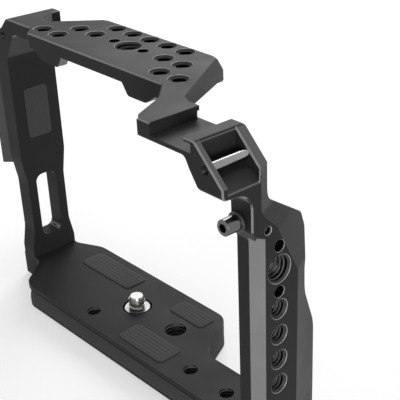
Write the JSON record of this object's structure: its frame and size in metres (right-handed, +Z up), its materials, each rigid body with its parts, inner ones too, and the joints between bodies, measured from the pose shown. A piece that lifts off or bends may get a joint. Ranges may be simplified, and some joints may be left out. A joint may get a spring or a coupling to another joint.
{
  "type": "camera cage",
  "caption": "Open metal frame that bolts round a camera body, with a drilled top plate, cold shoe, strap slots, side column, accessory rail and dovetail base.",
  "frame": {"origin": "underside of the base, on the axis of the camera screw", "axes": "+X to the grip side, which is the right seen from behind; +Y the way the lens looks; +Z up"},
  "size_m": [0.16, 0.0503, 0.1095],
  "materials": {
    "black_anodised": "bead blasted and black anodised",
    "rail_anodised": "bead blasted and black anodised, a shade darker",
    "black_steel": "black oxide, oiled",
    "polished_steel": "polished",
    "screw_steel": "turned and nickel plated",
    "spring_steel": "phosphated spring steel",
    "silicone": "matte silicone",
    "nylon": "black nylon",
    "magnet": "nickel plated"
  },
  "bodies": {
    "frame": {"main_frame": "black_anodised", "base_plate": "black_anodised", "joint_screws_right": "black_steel", "joint_screws_left": "black_steel", "base_dowels": "polished_steel", "strap_pin_right": "polished_steel", "strap_pin_left": "polished_steel", "accessory_rail": "rail_anodised", "rail_screws": "black_steel", "rail_stops": "black_steel", "side_pad_right": "silicone", "side_pad_left": "silicone", "tool_magnets": "magnet", "base_pad_left": "silicone", "base_pad_rear": "silicone", "base_pad_front": "silicone"},
    "screw_clip": {"camera_screw_clip": "spring_steel"},
    "screw": {"camera_screw": "screw_steel"},
    "washer": {"lug_washer": "nylon"},
    "lug_pin": {"lug_screw": "polished_steel"},
    "driver": {"slot_driver": "screw_steel"}
  },
  "joints": [
    {"name": "camera_screw_travel", "type": "slide", "parent": "frame", "child": "screw_clip", "axis": [0, 0, -1], "range_m": [0, 0.0038]},
    {"name": "camera_screw_turn", "type": "hinge", "parent": "screw_clip", "child": "screw", "pos_m": [0, 0, 0.005], "axis": [0, 0, 1], "continuous": true},
    {"name": "lug_screw_travel", "type": "slide", "parent": "frame", "child": "washer", "axis": [0, -1, 0], "range_m": [0, 0.005]},
    {"name": "lug_screw_turn", "type": "hinge", "parent": "washer", "child": "lug_pin", "pos_m": [0.081, -0.025, 0.085], "axis": [0, -1, 0], "range_deg": [0, 3600]},
    {"name": "driver_release", "type": "slide", "parent": "frame", "child": "driver", "axis": [0, 0, -1], "range_m": [0, 0.008]}
  ],
  "couplings": [
    {"joint": "lug_screw_turn", "follows": "lug_screw_travel", "rad_per_m": 12566}
  ]
}
